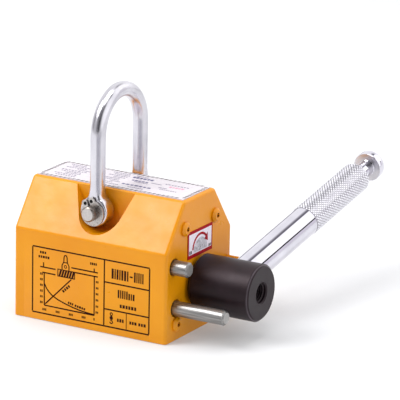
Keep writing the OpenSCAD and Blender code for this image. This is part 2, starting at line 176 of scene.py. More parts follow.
def material(name, recipe, **uniform):
    """A material whose varying sockets come from recipe; the uniform ones are set directly."""
    made = bpy.data.materials.new(name)
    made.use_nodes = True
    graph = Graph(made.node_tree)
    where = graph.add("TexCoord").outputs["Object"]
    surface = graph.add("BsdfPrincipled")
    for key, value in uniform.items():
        surface.inputs[key.replace("_", " ")].default_value = value
    recipe(graph, where, surface)
    graph.add("OutputMaterial", {"Surface": surface.outputs[0]})
    return made


def enamel(light, dark, ground_face=False):
    """Sprayed enamel: uneven tone, orange peel, fine nibs and slight gloss changes."""

    def recipe(g, where, surface):
        tone = g.level(g.noise(where, 24, 3), 0.36, 0.64)
        colour = g.blend(tone, dark, light)
        peel = g.noise(where, 260, 2)
        grain = g.noise(where, 1300, 2)
        nibs = g.level(g.cells(where, 190), 0.0, 0.09, 1, 0)
        normal = g.bump(peel, 0.00012)
        normal = g.bump(grain, 0.000016, normal)
        normal = g.bump(nibs, 0.00003, normal)
        rough = g.level(g.noise(where, 120, 4), 0.3, 0.7, 0.27, 0.38)
        if ground_face:
            bare = bare_under(g, where)
            lay = g.noise(g.stretch(where, (60, 2600, 60)), 1, 4)
            steel = g.blend(g.level(lay, 0.3, 0.7), rgb(128, 128, 130), rgb(176, 176, 178))
            colour = g.blend(bare, colour, steel)
            g.put(surface, "Metallic", bare)
        g.put(surface, "Base Color", colour)
        g.put(surface, "Roughness", rough)
        g.put(surface, "Normal", normal)

    return recipe


def bare_under(g, where):
    """1 on the ground pole face, which carries no paint, and 0 elsewhere."""
    height = g.add("SeparateXYZ", {0: where}).outputs[2]
    facing = g.add("SeparateXYZ", {0: g.add("TexCoord").outputs["Normal"]}).outputs[2]
    low = g.level(height, 0.00002, 0.00012, 1, 0)
    down = g.level(facing, -0.98, -0.9, 1, 0)
    return g.maths("MULTIPLY", low, down)


def streaked(light, dark, lay, rough, depth=0.000012):
    """Metal worked in one direction; lay is how often streaks repeat per metre along X, Y, Z."""

    def recipe(g, where, surface):
        streak = g.noise(g.stretch(where, lay), 1, 4)
        cloud = g.noise(where, 90, 3)
        fine, broad = g.level(streak, 0.3, 0.7, 0, 0.65), g.level(cloud, 0.3, 0.7, 0, 0.35)
        g.put(surface, "Base Color", g.blend(g.maths("ADD", fine, broad), dark, light))
        g.put(surface, "Roughness", g.level(streak, 0.3, 0.7, *rough))
        g.put(surface, "Normal", g.bump(streak, depth))

    return recipe


def plated(light, dark, rough, ripple=0.00002):
    """Bright plating: near-mirror with slow ripples, faint haze and fine rub marks."""

    def recipe(g, where, surface):
        haze = g.noise(where, 70, 4)
        rubs = g.noise(g.stretch(where, (900, 160, 900)), 1, 3)
        g.put(surface, "Base Color", g.blend(g.level(haze, 0.3, 0.7), dark, light))
        g.put(surface, "Roughness", g.level(haze, 0.3, 0.7, *rough))
        normal = g.bump(g.noise(where, 55, 1), ripple)
        g.put(surface, "Normal", g.bump(rubs, 0.000003, normal))

    return recipe


def pin_metal(g, where, surface):
    """Drawn steel for the stops and the catch; the shackle's pin, higher up, is zinc plated."""
    height = g.add("SeparateXYZ", {0: where}).outputs[2]
    zinc = g.level(height, 0.046, 0.05)
    drawn_share = g.level(zinc, 0, 1, 1, 0)
    facing = g.add("SeparateXYZ", {0: g.add("TexCoord").outputs["Normal"]})
    along_x = g.maths("MULTIPLY", g.maths("ABSOLUTE", facing.outputs[0], 0), drawn_share)
    along_y = g.maths("MULTIPLY", g.maths("ABSOLUTE", facing.outputs[1], 0), zinc)
    sawn_end = g.level(g.maths("ADD", along_x, along_y), 0.9, 0.97)
    streak = g.noise(g.stretch(where, ALONG_X), 1, 4)
    grit = g.noise(where, 900, 4)
    share = g.level(streak, 0.3, 0.7)
    drawn = g.blend(share, rgb(98, 96, 95), rgb(174, 173, 171))
    drawn = g.blend(sawn_end, drawn, g.blend(grit, rgb(156, 154, 151), rgb(200, 198, 195)))
    plate = g.blend(share, rgb(96, 86, 80), rgb(166, 158, 152))
    plate = g.blend(sawn_end, plate, g.blend(grit, rgb(186, 180, 176), rgb(222, 218, 214)))
    g.put(surface, "Base Color", g.blend(zinc, drawn, plate))
    g.put(surface, "Roughness", g.level(sawn_end, 0, 1, g.level(streak, 0.3, 0.7, 0.3, 0.44), 0.55))
    g.put(surface, "Normal", g.bump(streak, 0.000012))


def film(light, dark, rough=(0.3, 0.45)):
    """Printed film or ink: nearly even, with fine mottling and a slightly uneven gloss."""

    def recipe(g, where, surface):
        mottle = g.noise(where, 700, 4)
        g.put(surface, "Base Color", g.blend(g.level(mottle, 0.3, 0.7), dark, light))
        g.put(surface, "Roughness", g.level(g.noise(where, 240, 3), 0.3, 0.7, *rough))
        g.put(surface, "Normal", g.bump(mottle, 0.000006))

    return recipe


def satin_black(g, where, surface):
    """Black oxide over turned steel: fine rings round X, dusty patches, and a lighter end edge that
    is a painted highlight as well as edge wear.
    """
    rings = g.noise(g.stretch(where, (3200, 30, 30)), 1, 3)
    dust = g.noise(where, 130, 5)
    oxide = g.blend(g.level(dust, 0.3, 0.7), rgb(20, 12, 15), rgb(32, 21, 26))
    start = g.add("VectorMath", {0: where, 1: (HUB_X1 * MM, 0, AXIS_Z * MM)}, operation="SUBTRACT")
    radial = g.add("VectorMath", {0: start.outputs[0], 1: (0, 1, 1)}, operation="MULTIPLY")
    radius = g.add("VectorMath", {0: radial.outputs[0]}, operation="LENGTH").outputs["Value"]
    behind_end = g.add("SeparateXYZ", {0: start.outputs[0]}).outputs[0]
    near_end = g.level(behind_end, -0.0012, -0.0007)
    rim = g.level(radius, (HUB_R - 0.9) * MM, (HUB_R - 0.5) * MM)
    edge = g.maths("MULTIPLY", near_end, rim)
    # Painted highlight along the hub's end edge, which also stands for edge wear
    edge_wear_and_highlight = g.maths("MULTIPLY", edge, g.level(dust, 0.3, 0.6, 0.4, 1))
    g.put(surface, "Base Color", g.blend(edge_wear_and_highlight, oxide, rgb(98, 90, 96)))
    g.put(surface, "Roughness", g.level(dust, 0.3, 0.7, 0.36, 0.47))
    g.put(surface, "Normal", g.bump(rings, 0.000006))


def knurled(g, where, surface):
    """Bright chrome whose knurl grooves are duller than the points and painted darker, as painted
    shade in the grooves.
    """
    start = g.add("VectorMath", {0: where, 1: (ROD_X * MM, 0, AXIS_Z * MM)}, operation="SUBTRACT")
    along = (0, math.cos(HANDLE_RAISE), math.sin(HANDLE_RAISE))
    across = g.add("VectorMath", {0: start.outputs[0], 1: along}, operation="CROSS_PRODUCT")
    radius = g.add("VectorMath", {0: across.outputs[0]}, operation="LENGTH").outputs["Value"]
    point = g.level(radius, (KNURL_R - KNURL_DEPTH) * MM, (KNURL_R - 0.06) * MM)
    haze = g.noise(where, 300, 3)
    bright = g.blend(g.level(haze, 0.3, 0.7), rgb(226, 224, 232), rgb(244, 243, 248))
    # The grooves' darker colour is painted shade
    g.put(surface, "Base Color", g.blend(point, rgb(112, 108, 118), bright))
    g.put(surface, "Roughness", g.level(point, 0, 1, 0.35, 0.12))
    g.put(surface, "Normal", g.bump(g.noise(where, 900, 2), 0.000004))


ORANGE = rgb(234, 154, 2)
ORANGE_DEEP = rgb(227, 144, 1)

# How often streaks repeat per metre along X, Y and Z: on bars drawn along X, and on parts
# turned about X
ALONG_X = (50, 2200, 2200)
ROUND_X = (2600, 45, 45)

# Least and most roughness of the turned steel
STEEL_PLAY = (0.22, 0.36)

MATERIALS = {
    "housing_paint": material(
        "orange_enamel", enamel(ORANGE, ORANGE_DEEP, True), Specular_IOR_Level=0.34),
    "screw_paint": material(
        "orange_enamel_screws", enamel(ORANGE, ORANGE_DEEP), Specular_IOR_Level=0.34),
    "gap_brass": material(
        "ground_brass", streaked(rgb(196, 168, 104), rgb(160, 132, 74), ALONG_X, (0.25, 0.4)),
        Metallic=1.0),
    "magnet_nickel": material(
        "nickel_plate", plated(rgb(190, 186, 174), rgb(160, 156, 146), (0.2, 0.32)),
        Metallic=1.0),
    "bush_bronze": material(
        "turned_bronze", streaked(rgb(184, 130, 74), rgb(150, 100, 54), ROUND_X, (0.28, 0.42)),
        Metallic=1.0),
    "rotor_steel": material(
        "turned_steel", streaked(rgb(188, 190, 194), rgb(140, 142, 146), ROUND_X, STEEL_PLAY),
        Metallic=1.0),
    "side_aluminium": material(
        "turned_aluminium", streaked(rgb(220, 222, 226), rgb(184, 186, 190), ROUND_X, (0.25, 0.4)),
        Metallic=1.0),
    "screw_steel": material(
        "black_screw_steel", streaked(rgb(74, 73, 76), rgb(44, 43, 46), ROUND_X, (0.3, 0.45)),
        Metallic=0.8),
    # Black oxide with a painted highlight along the hub's end edge
    "hub_black": material(
        "black_oxide", satin_black, Specular_IOR_Level=0.27, Specular_Tint=(1.0, 0.84, 0.9, 1)),
    "rod_chrome": material(
        "bright_chrome", plated(rgb(230, 228, 236), rgb(212, 210, 219), (0.03, 0.07)),
        Metallic=1.0),
    "pin_steel": material("pin_steel", pin_metal, Metallic=1.0),
    "spring_steel": material(
        "spring_wire", streaked(rgb(150, 150, 156), rgb(104, 104, 110), ROUND_X, (0.2, 0.3)),
        Metallic=1.0),
    "shackle_zinc": material(
        "bright_zinc", plated(rgb(222, 220, 226), rgb(198, 196, 203), (0.18, 0.28), 0.00004),
        Metallic=1.0),
    "ring_steel": material(
        "stamped_ring_steel",
        streaked(rgb(208, 203, 199), rgb(158, 153, 149), (900, 900, 900), (0.22, 0.4)),
        Metallic=1.0),
    "plate_white": material("white_plate_film", film(rgb(217, 210, 215), rgb(204, 197, 203))),
    "label_red": material(
        "red_label_film", film(rgb(176, 6, 30), rgb(148, 3, 22), (0.5, 0.65)),
        Specular_IOR_Level=0.12),
}
# Knurled chrome with painted shade in its grooves
KNURL_CHROME = material("knurled_chrome", knurled, Metallic=1.0)
TURNED_CHROME = material(
    "turned_chrome", plated(rgb(216, 214, 218), rgb(186, 184, 189), (0.3, 0.38)), Metallic=1.0)
INK = material(
    "print_ink", film(rgb(56, 16, 6), rgb(36, 8, 3), (0.5, 0.65)), Specular_IOR_Level=0.1)
LABEL_WHITE = material("label_white", film(rgb(244, 236, 244), rgb(230, 220, 234)))
LABEL_GREY = material("label_grey", film(rgb(226, 222, 230), rgb(150, 146, 156)))
LABEL_DARK = material("label_dark", film(rgb(60, 10, 20), rgb(40, 6, 14)))
PLATE_DASH = material("plate_dash_ink", film(rgb(58, 44, 38), rgb(40, 30, 26)))
PLATE_GREY = material("plate_grey_ink", film(rgb(112, 102, 132), rgb(86, 78, 110)))
PLATE_BLUE = material("plate_blue_ink", film(rgb(56, 54, 120), rgb(38, 36, 92)))
PLATE_PINK = material("plate_pink_ink", film(rgb(224, 150, 176), rgb(206, 124, 156)))
# Painted shade for the retaining rings' eyes
EYE_SHADE = material("ring_eye_painted_shade", film(rgb(34, 30, 26), rgb(20, 17, 15), (0.4, 0.6)))
# Painted shade for the screw sockets
SOCKET_SHADE = material(
    "socket_shadowed_paint", film(rgb(70, 30, 6), rgb(44, 18, 4), (0.5, 0.7)))


def dress_cad_nodes():
    """Every CAD node takes its slot's material; the mesh itself stays as packed."""
    for node in NODES.values():
        for held in node.material_slots:
            slot = held.material.name.split(".")[0]
            held.material = MATERIALS[slot]


# ---- Meshes ----


# Points closer than this become one, and points this close to a seam, in mm, are on it
WELD = 0.002 * MM
SEAM_TOLERANCE = 0.01


def piece(name, mesh, mat, body):
    """A new visible piece that rides on a CAD body."""
    made = bpy.data.objects.new(name, mesh)
    bpy.context.scene.collection.objects.link(made)
    mesh.materials.append(mat)
    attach(made, body)
    return made


def finish_mesh(bm, name, smooth=False):
    bmesh.ops.recalc_face_normals(bm, faces=bm.faces)
    mesh = bpy.data.meshes.new(name)
    bm.to_mesh(mesh)
    bm.free()
    if smooth:
        for face in mesh.polygons:
            face.use_smooth = True
    return mesh


def mark_sharp(bm, degrees):
    """Smooth shading everywhere except over edges sharper than the angle."""
    for face in bm.faces:
        face.smooth = True
    for edge in bm.edges:
        sharp = len(edge.link_faces) != 2 or edge.calc_face_angle(0) > math.radians(degrees)
        edge.smooth = not sharp


def weigh_edges(bm, degrees):
    """Marks the sharp edges to be rounded, but not those of the painted-over cover seams."""
    weight = bm.edges.layers.float.new("bevel_weight_edge")
    for edge in bm.edges:
        if len(edge.link_faces) != 2 or edge.calc_face_angle(0) < math.radians(degrees):
            continue
        in_seam = False
        for seam in SEAMS_X:
            aside = [abs(vert.co.x / MM - seam) for vert in edge.verts]
            in_seam = in_seam or max(aside) < SEAM_TOLERANCE
        edge.smooth = not in_seam
        edge[weight] = 0.0 if in_seam else 1.0


def soft_edged(node, width=0.35, slot="housing_paint", body="housing"):
    """A copy of a CAD node whose sharp edges are rounded as the paint rounds them."""
    bm = bmesh.new()
    bm.from_mesh(NODES[node].data)
    bmesh.ops.remove_doubles(bm, verts=bm.verts, dist=WELD)
    bmesh.ops.dissolve_limit(bm, angle_limit=math.radians(0.4), verts=bm.verts, edges=bm.edges)
    for face in bm.faces:
        face.smooth = True
    weigh_edges(bm, 32)
    mesh = bpy.data.meshes.new(node + "_soft")
    bm.to_mesh(mesh)
    bm.free()
    made = piece(node + "_soft", mesh, MATERIALS[slot], body)
    rounding = made.modifiers.new("rounding", "BEVEL")
    rounding.width = width * MM
    rounding.segments = 3
    rounding.limit_method = "WEIGHT"
    rounding.use_clamp_overlap = True
    rounding.harden_normals = False
    even = made.modifiers.new("even_normals", "WEIGHTED_NORMAL")
    even.keep_sharp = True
    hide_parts(node)
    return made


def turned(profile, axis_frame, steps=96):
    """A lathe mesh: profile holds (radius, height) in mm; axis_frame puts its axis in place."""
    bm = bmesh.new()
    rings = []
    for radius, height in profile:
        if radius < 1e-6:
            rings.append([bm.verts.new(axis_frame @ Vector((0, 0, height)) * MM)])
            continue
        ring = []
        for step in range(steps):
            turn = 2 * math.pi * step / steps
            local = Vector((radius * math.cos(turn), radius * math.sin(turn), height))
            ring.append(bm.verts.new(axis_frame @ local * MM))
        rings.append(ring)
    for low, high in zip(rings, rings[1:]):
        join_rings(bm, low, high)
    return bm


def join_rings(bm, low, high):
    steps = max(len(low), len(high))
    for step in range(steps):
        after = (step + 1) % steps
        corners = [low[step % len(low)], low[after % len(low)]]
        corners += [high[after % len(high)], high[step % len(high)]]
        distinct = []
        for corner in corners:
            if corner not in distinct:
                distinct.append(corner)
        bm.faces.new(distinct)


# ---- Handle rod with a cut diamond knurl ----

# In mm along the rod from the rotor's axis, and radii
ROD_INNER_END = -4.5
NECK_R = 4.1
FLANGE_FROM = HANDLE_REACH - 5.2
KNURL_TO = FLANGE_FROM - 12.5
KNURL_FROM = KNURL_TO - 60.5
KNURL_RUN_IN = 0.2
KNURL_BEVEL = 1.6
KNURL_STARTS = 32
KNURL_PITCH = 2.5
KNURL_CUTS = 6
ROD_STEPS = KNURL_STARTS * KNURL_CUTS

# Places of the knurl's and the flange face's materials on the rod; the first is its chrome
KNURLED_INDEX, TURNED_INDEX = 1, 2


def diamond(turn_share, height):
    """0 in the knurl's grooves and 1 on its flat-topped points."""

    def wave(value):
        return 1 - 2 * abs(value - math.floor(value) - 0.5)

    across = turn_share * KNURL_STARTS
    along = height / KNURL_PITCH
    return min(1.0, 1.9 * min(wave(across + along), wave(across - along)))


def rod_radii():
    """(radius, height along the rod, depth of the knurl's cut) from the hub outwards."""
    rows = [(0.0, ROD_INNER_END, 0), (ROD_R - 0.4, ROD_INNER_END, 0)]
    rows += [(ROD_R, ROD_INNER_END + 0.4, 0), (ROD_R, 0.0, 0)]
    rows += [(ROD_R, KNURL_FROM - 0.35, 0), (ROD_R + 0.02, KNURL_FROM, 0)]
    step = KNURL_PITCH / KNURL_CUTS
    for index in range(int((KNURL_TO - KNURL_BEVEL - KNURL_FROM) / step) + 1):
        height = KNURL_FROM + KNURL_RUN_IN + index * step
        lead = min(1.0, index / 2)
        rows.append((ROD_R + (KNURL_R - ROD_R) * lead, height, KNURL_DEPTH * lead))
    rows += [(KNURL_R - 0.15, KNURL_TO - KNURL_BEVEL + 0.1, KNURL_DEPTH * 0.7)]
    rows += [(KNURL_R - KNURL_BEVEL * 0.55, KNURL_TO - KNURL_BEVEL * 0.5, KNURL_DEPTH * 0.2)]
    rows += [(KNURL_R - KNURL_BEVEL, KNURL_TO - 0.05, 0)]
    rows += [(KNURL_R - KNURL_BEVEL - 0.15, KNURL_TO, 0)]
    rows += [(NECK_R + 0.35, KNURL_TO, 0), (NECK_R, KNURL_TO + 0.35, 0)]
    rows += [(NECK_R, FLANGE_FROM - 0.3, 0), (NECK_R + 0.3, FLANGE_FROM, 0)]
    rows += [(ROD_R - 0.5, FLANGE_FROM, 0), (ROD_R - 0.15, FLANGE_FROM + 0.15, 0)]
    rows += [(ROD_R, FLANGE_FROM + 0.5, 0), (ROD_R, HANDLE_REACH - 0.8, 0)]
    rows += [(ROD_R - 0.22, HANDLE_REACH - 0.22, 0), (ROD_R - 0.8, HANDLE_REACH, 0)]
    rows += [(0.0, HANDLE_REACH, 0)]
    return rows


def rod_frame():
    """Puts a mesh turned about Z on the handle's axis, which starts at the rotor's axis."""
    tilt = Matrix.Rotation(HANDLE_RAISE - math.pi / 2, 4, "X")
    return Matrix.Translation((ROD_X, 0, AXIS_Z)) @ tilt


def handle_rod():
    place = rod_frame()
    rows = rod_radii()
    bm = bmesh.new()
    rings = []
    for radius, height, cut in rows:
        if radius == 0:
            rings.append([bm.verts.new(place @ Vector((0, 0, height)) * MM)])
            continue
        ring = []
        for step in range(ROD_STEPS):
            share = step / ROD_STEPS
            here = radius - cut * (1 - diamond(share, height - KNURL_FROM - KNURL_RUN_IN))
            local = Vector((here * math.cos(2 * math.pi * share),
                            here * math.sin(2 * math.pi * share), height))
            ring.append(bm.verts.new(place @ local * MM))
        rings.append(ring)
    for low, high, row in zip(rings, rings[1:], rows):
        before = len(bm.faces)
        join_rings(bm, low, high)
        if KNURL_FROM < row[1] < KNURL_TO - 0.1:
            finish = KNURLED_INDEX
        elif abs(row[1] - FLANGE_FROM) < 0.05:
            finish = TURNED_INDEX
        else:
            continue
        bm.faces.ensure_lookup_table()
        for face in bm.faces[before:]:
            face.material_index = finish
    bmesh.ops.recalc_face_normals(bm, faces=bm.faces)
    mark_sharp(bm, 24)
    mesh = finish_mesh(bm, "handle_rod_knurled")
    made = piece("handle_rod_knurled", mesh, MATERIALS["rod_chrome"], "rotor")
    mesh.materials.append(KNURL_CHROME)
    mesh.materials.append(TURNED_CHROME)
    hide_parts("handle_rod")


# ---- Shackle, bent from round bar with forged eyes ----

SHACKLE_X = sum(span("shackle_pin", 0)) / 2
PIN_Z = sum(span("shackle_pin", 2)) / 2
SHACKLE_TOP = span("shackle", 2)[1]
BAR_R = 4.0
LEG_Y = 21.0
EAR_R = 8.1
EAR_T = 8.2
BORE_R = 4.05
NECK_FILLET = 4.0
BAR_STEPS = 40
BOW_STEPS = 60


def bar_ring(bm, centre, out, half_x, half_out, power):
    """One section of the bar: a circle where power is 2, squarer where it is larger."""
    ring = []
    for step in range(BAR_STEPS):
        turn = 2 * math.pi * step / BAR_STEPS
        cos, sin = math.cos(turn), math.sin(turn)
        x = half_x * math.copysign(abs(cos) ** (2 / power), cos)
        away = half_out * math.copysign(abs(sin) ** (2 / power), sin)
        spot = Vector(centre) + Vector((x, 0, 0)) + Vector(out) * away
        ring.append(bm.verts.new(spot * MM))
    return ring


def neck_sections():
    """(height over the pin, half width, squareness) from inside the eye up to the round bar."""
    high = math.sqrt((EAR_R + NECK_FILLET) ** 2 - (BAR_R + NECK_FILLET) ** 2)
    low = EAR_R * high / (EAR_R + NECK_FILLET)
    sections = [(4.6, 4.6, 5.0)]
    for step in range(9):
        height = low - 0.5 + (high - low + 0.5) * step / 8
        reach = math.sqrt(max(0.0, NECK_FILLET ** 2 - (high - height) ** 2))
        half = min(BAR_R + NECK_FILLET - reach, 5.6)
        sections.append((height, half, 5.0 - 2.2 * step / 8))
    sections += [(high + 1.5, BAR_R, 2.45), (high + 3.0, BAR_R, 2.15), (high + 5.0, BAR_R, 2.0)]
    return sections


def shackle():
    """Both legs and the bow as one swept bar, united with its two eyes."""
    bow_z = SHACKLE_TOP - BAR_R - LEG_Y
    bm = bmesh.new()
    rings = []
    for height, half, power in neck_sections():
        centre = (SHACKLE_X, LEG_Y, PIN_Z + height)
        rings.append(bar_ring(bm, centre, (0, 1, 0), half, BAR_R, power))
    for step in range(BOW_STEPS + 1):
        turn = math.pi * step / BOW_STEPS
        out = (0, math.cos(turn), math.sin(turn))
        centre = (SHACKLE_X, LEG_Y * out[1], bow_z + LEG_Y * out[2])
        rings.append(bar_ring(bm, centre, out, BAR_R, BAR_R, 2))
    for height, half, power in reversed(neck_sections()):
        centre = (SHACKLE_X, -LEG_Y, PIN_Z + height)
        rings.append(bar_ring(bm, centre, (0, -1, 0), half, BAR_R, power))
    for low, high in zip(rings, rings[1:]):
        join_rings(bm, low, high)
    bm.faces.new(rings[0])
    bm.faces.new(rings[-1])
    parts = [scratch_object("bow", bm)]
    half = EAR_T / 2
    for side in (-1, 1):
        profile = [(BORE_R, -half + 0.5), (BORE_R + 0.5, -half), (EAR_R - 1.1, -half),
                   (EAR_R - 0.55, -half + 0.15), (EAR_R - 0.15, -half + 0.55), (EAR_R, -half + 1.1),
                   (EAR_R, half - 1.1), (EAR_R - 0.15, half - 0.55), (EAR_R - 0.55, half - 0.15),
                   (EAR_R - 1.1, half), (BORE_R + 0.5, half), (BORE_R, half - 0.5),
                   (BORE_R, -half + 0.5)]
        place = Matrix.Translation((SHACKLE_X, side * LEG_Y, PIN_Z)) @ Matrix.Rotation(
            math.pi / 2, 4, "X")
        eye = turned(profile, place)
        bmesh.ops.remove_doubles(eye, verts=eye.verts, dist=0.001 * MM)
        parts.append(scratch_object("eye", eye))
    mesh = united(parts, "shackle_forged", 34)
    made = piece("shackle_forged", mesh, MATERIALS["shackle_zinc"], "shackle")
    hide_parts("shackle")


def scratch_object(name, bm):
    made = bpy.data.objects.new(name, finish_mesh(bm, name))
    bpy.context.scene.collection.objects.link(made)
    return made


def united(parts, name, degrees):
    """One mesh that is the exact union of the scratch objects, which are then removed."""
    base = parts[0]
    for other in parts[1:]:
        joint = base.modifiers.new("union", "BOOLEAN")
        joint.operation = "UNION"
        joint.solver = "EXACT"
        joint.object = other
    bpy.context.view_layer.update()
    graph = bpy.context.evaluated_depsgraph_get()
    mesh = bpy.data.meshes.new_from_object(base.evaluated_get(graph))
    mesh.name = name
    for part in parts:
        bpy.data.objects.remove(part)
    bm = bmesh.new()
    bm.from_mesh(mesh)
    bmesh.ops.remove_doubles(bm, verts=bm.verts, dist=WELD)
    mark_sharp(bm, degrees)
    bm.to_mesh(mesh)
    bm.free()
    return mesh


# ---- Hub thread, and painted shade in the screw sockets ----


def hub_thread():
    """The tapped thread in the hub's end hole."""
    start, stop = HUB_X1 - 6.6, HUB_X1 - 0.9
    pitch, major, minor = 1.25, 5.28, 4.65
    root, per_turn = pitch * 0.46, 48
    bm = bmesh.new()
    rings = []
    count = int((stop - start - pitch) / pitch * per_turn)
    for index in range(count + 1):
        turn = 2 * math.pi * index / per_turn
        x = start + pitch / 2 + index * pitch / per_turn
        ends = min(1.0, index / 12, (count - index) / 12)
        tip = major - (major - minor) * ends
        ring = []
        for radius, shift in ((major, -root), (tip, -0.1), (tip, 0.1), (major, root)):
            ring.append(bm.verts.new(Vector((x + shift, radius * math.cos(turn),
                                             AXIS_Z + radius * math.sin(turn))) * MM))
        rings.append(ring)
    for low, high in zip(rings, rings[1:]):
        for a in range(4):
            b = (a + 1) % 4
            bm.faces.new((low[a], low[b], high[b], high[a]))
    bm.faces.new(rings[0])
    bm.faces.new(rings[-1])
    mesh = finish_mesh(bm, "hub_thread")
    piece("hub_thread", mesh, MATERIALS["hub_black"], "rotor")


def catch_spring():
    """The catch's coil spring with closed ends."""
    start, end = span("plunger_spring", 0)
    y, z = sum(span("plunger_spring", 1)) / 2, sum(span("plunger_spring", 2)) / 2
    wire, closed, turns, per_turn, sides = 0.5, 0.9, 8.0, 36, 12
    mean = span("plunger_spring", 2)[1] - z - wire
    rise = 2 * wire * 1.02
    open_rise = (end - start - 2 * wire - 2 * closed * rise) / (turns - 2 * closed)
    bm = bmesh.new()
    rings = []
    for index in range(int(turns * per_turn) + 1):
        turn = index / per_turn
        x = start + wire + rise * min(turn, closed) + rise * max(0.0, turn - turns + closed)
        x += open_rise * min(max(turn - closed, 0.0), turns - 2 * closed)
        cos, sin = math.cos(2 * math.pi * turn), math.sin(2 * math.pi * turn)
        ring = []
        for side in range(sides):
            way = 2 * math.pi * side / sides
            out = mean + wire * math.cos(way)
            ring.append(bm.verts.new(Vector((x + wire * math.sin(way), y + out * cos,
                                             z + out * sin)) * MM))
        rings.append(ring)
    for low, high in zip(rings, rings[1:]):
        join_rings(bm, low, high)
    bm.faces.new(rings[0])
    bm.faces.new(rings[-1])
    mesh = finish_mesh(bm, "catch_spring", True)
    made = piece("catch_spring", mesh, MATERIALS["spring_steel"], "housing")
    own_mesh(made)
    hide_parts("plunger_spring")


# Y and Z of the cover screws, as in the CAD, and their sockets' size
SCREW_PLACES = ((-15.3, 57.5), (15.3, 57.5), (-23.0, 8.8), (23.0, 8.8))
SOCKET_ACROSS = 2.5
SOCKET_DEPTH = 1.5


def cup(bm, mouth, inward, across, profile, sides):
    """An open cup: (radius, depth) rows behind the centre of its mouth, with a closed bottom."""
    mouth, inward, across = Vector(mouth), Vector(inward), Vector(across)
    beside = inward.cross(across)
    rings = []
    for radius, depth in profile:
        ring = []
        for step in range(sides):
            turn = 2 * math.pi * step / sides
            out = across * math.cos(turn) + beside * math.sin(turn)
            ring.append(bm.verts.new((mouth + inward * depth + out * radius) * MM))
        rings.append(ring)
    for low, high in zip(rings, rings[1:]):
        join_rings(bm, low, high)
    bm.faces.new(rings[-1])


def socket_shade_cups(name, head_x, outward):
    """Dark hexagonal cups just inside the sockets of one cover's four screws: painted shade in the
    sockets.
    """
    bm = bmesh.new()
    corner = (SOCKET_ACROSS / 2 - 0.01) / math.cos(math.pi / 6)
    profile = ((corner, 0.35), (corner, SOCKET_DEPTH - 0.1), (0.6, SOCKET_DEPTH + 0.1))
    for y, z in SCREW_PLACES:
        cup(bm, (head_x, y, z), (-outward, 0, 0), (0, 1, 0), profile, 6)
    mesh = finish_mesh(bm, name)
    # The cups' dark colour is painted shade
    piece(name, mesh, SOCKET_SHADE, "housing")


# Radius of the retaining rings' eyes, their distance from the pin's axis and their bearings
EYE_R = 0.95
EYE_AWAY = 6.0
EYE_TURNS = (94, 132)


def ring_eye_shade_cups():
    """Dark cups in the eyes of both retaining rings: painted shade in the eyes."""
    face_y = span("retaining_rings", 1)[1]
    bm = bmesh.new()
    radius = EYE_R - 0.02
    profile = ((radius, 0.3), (radius, 0.95), (radius - 0.3, 1.05))
    for side in (-1, 1):
        for degrees in EYE_TURNS:
            turn = math.radians(degrees)
            x, z = EYE_AWAY * math.cos(turn), EYE_AWAY * math.sin(turn)
            mouth = (SHACKLE_X + x, side * face_y, PIN_Z + z)
            cup(bm, mouth, (0, -side, 0), (1, 0, 0), profile, 24)
    # The cups' dark colour is painted shade
    piece("ring_eye_shade_cups", finish_mesh(bm, "ring_eye_shade_cups"), EYE_SHADE, "housing")


# ---- Printed marks, as thin raised shapes ----


class Print:
    """Shapes in mm on one flat face, all raised by the thickness of the print."""

    SUNK, PROUD = 0.03, 0.05

    def __init__(self, origin, across, up, lift=0.0):
        self.bm = bmesh.new()
        self.origin, self.across, self.up = Vector(origin), Vector(across), Vector(up)
        self.out = self.across.cross(self.up)
        self.lift = lift

    def fill(self, outline):
        low, high = [], []
        for u, v in outline:
            spot = self.origin + self.across * u + self.up * v
            low.append(self.bm.verts.new((spot + self.out * (self.lift - self.SUNK)) * MM))
            high.append(self.bm.verts.new((spot + self.out * (self.lift + self.PROUD)) * MM))
        self.bm.faces.new(low[::-1])
        self.bm.faces.new(high)
        for a in range(len(outline)):
            b = (a + 1) % len(outline)
            self.bm.faces.new((low[a], low[b], high[b], high[a]))

    def bar(self, u0, v0, u1, v1):
        self.fill([(u0, v0), (u1, v0), (u1, v1), (u0, v1)])

    def line(self, points, width):
        """An open line through the points with mitred corners."""
        left, right = [], []
        for index, (u, v) in enumerate(points):
            before = Vector(points[max(index - 1, 0)])
            after = Vector(points[min(index + 1, len(points) - 1)])
            here = Vector((u, v))
            ways = [w.normalized() for w in (here - before, after - here) if w.length > 0]
            along = sum(ways, Vector((0, 0))).normalized()
            side = Vector((-along.y, along.x))
            reach = width / 2 / max(0.5, abs(along.dot(ways[0])))
            left.append(tuple(here + side * reach))
            right.append(tuple(here - side * reach))
        self.fill(right + left[::-1])

    def sector(self, u, v, inner, outer, start, stop, steps=28):
        """Part of a ring, or of a disc where inner is 0, between two angles in degrees."""
        turns = [math.radians(start + (stop - start) * s / steps) for s in range(steps + 1)]
        far = [(u + outer * math.cos(t), v + outer * math.sin(t)) for t in turns]
        if inner == 0:
            self.fill(far if stop - start < 360 else far[:-1])
            return
        near = [(u + inner * math.cos(t), v + inner * math.sin(t)) for t in turns]
        for a in range(steps):
            self.fill([far[a], far[a + 1], near[a + 1], near[a]])

    def blocks(self, u, v, length, height, widths, tilt=0.0, gap=0.45):
        """A row of plain blocks that stands where the real object has lettering."""
        total = sum(widths) + gap * (len(widths) - 1)
        scale = length / total
        turn = math.radians(tilt)
        cos, sin = math.cos(turn), math.sin(turn)
        at = 0.0
        for width in widths:
            corners = []
            end = at + width * scale
            for a, b in ((at, 0), (end, 0), (end, height), (at, height)):
                corners.append((u + a * cos - b * sin, v + a * sin + b * cos))
            self.fill(corners)
            at += (width + gap) * scale

    def done(self, name, mat):
        mesh = bpy.data.meshes.new(name)
        self.bm.to_mesh(mesh)
        self.bm.free()
        piece(name, mesh, mat, "housing")


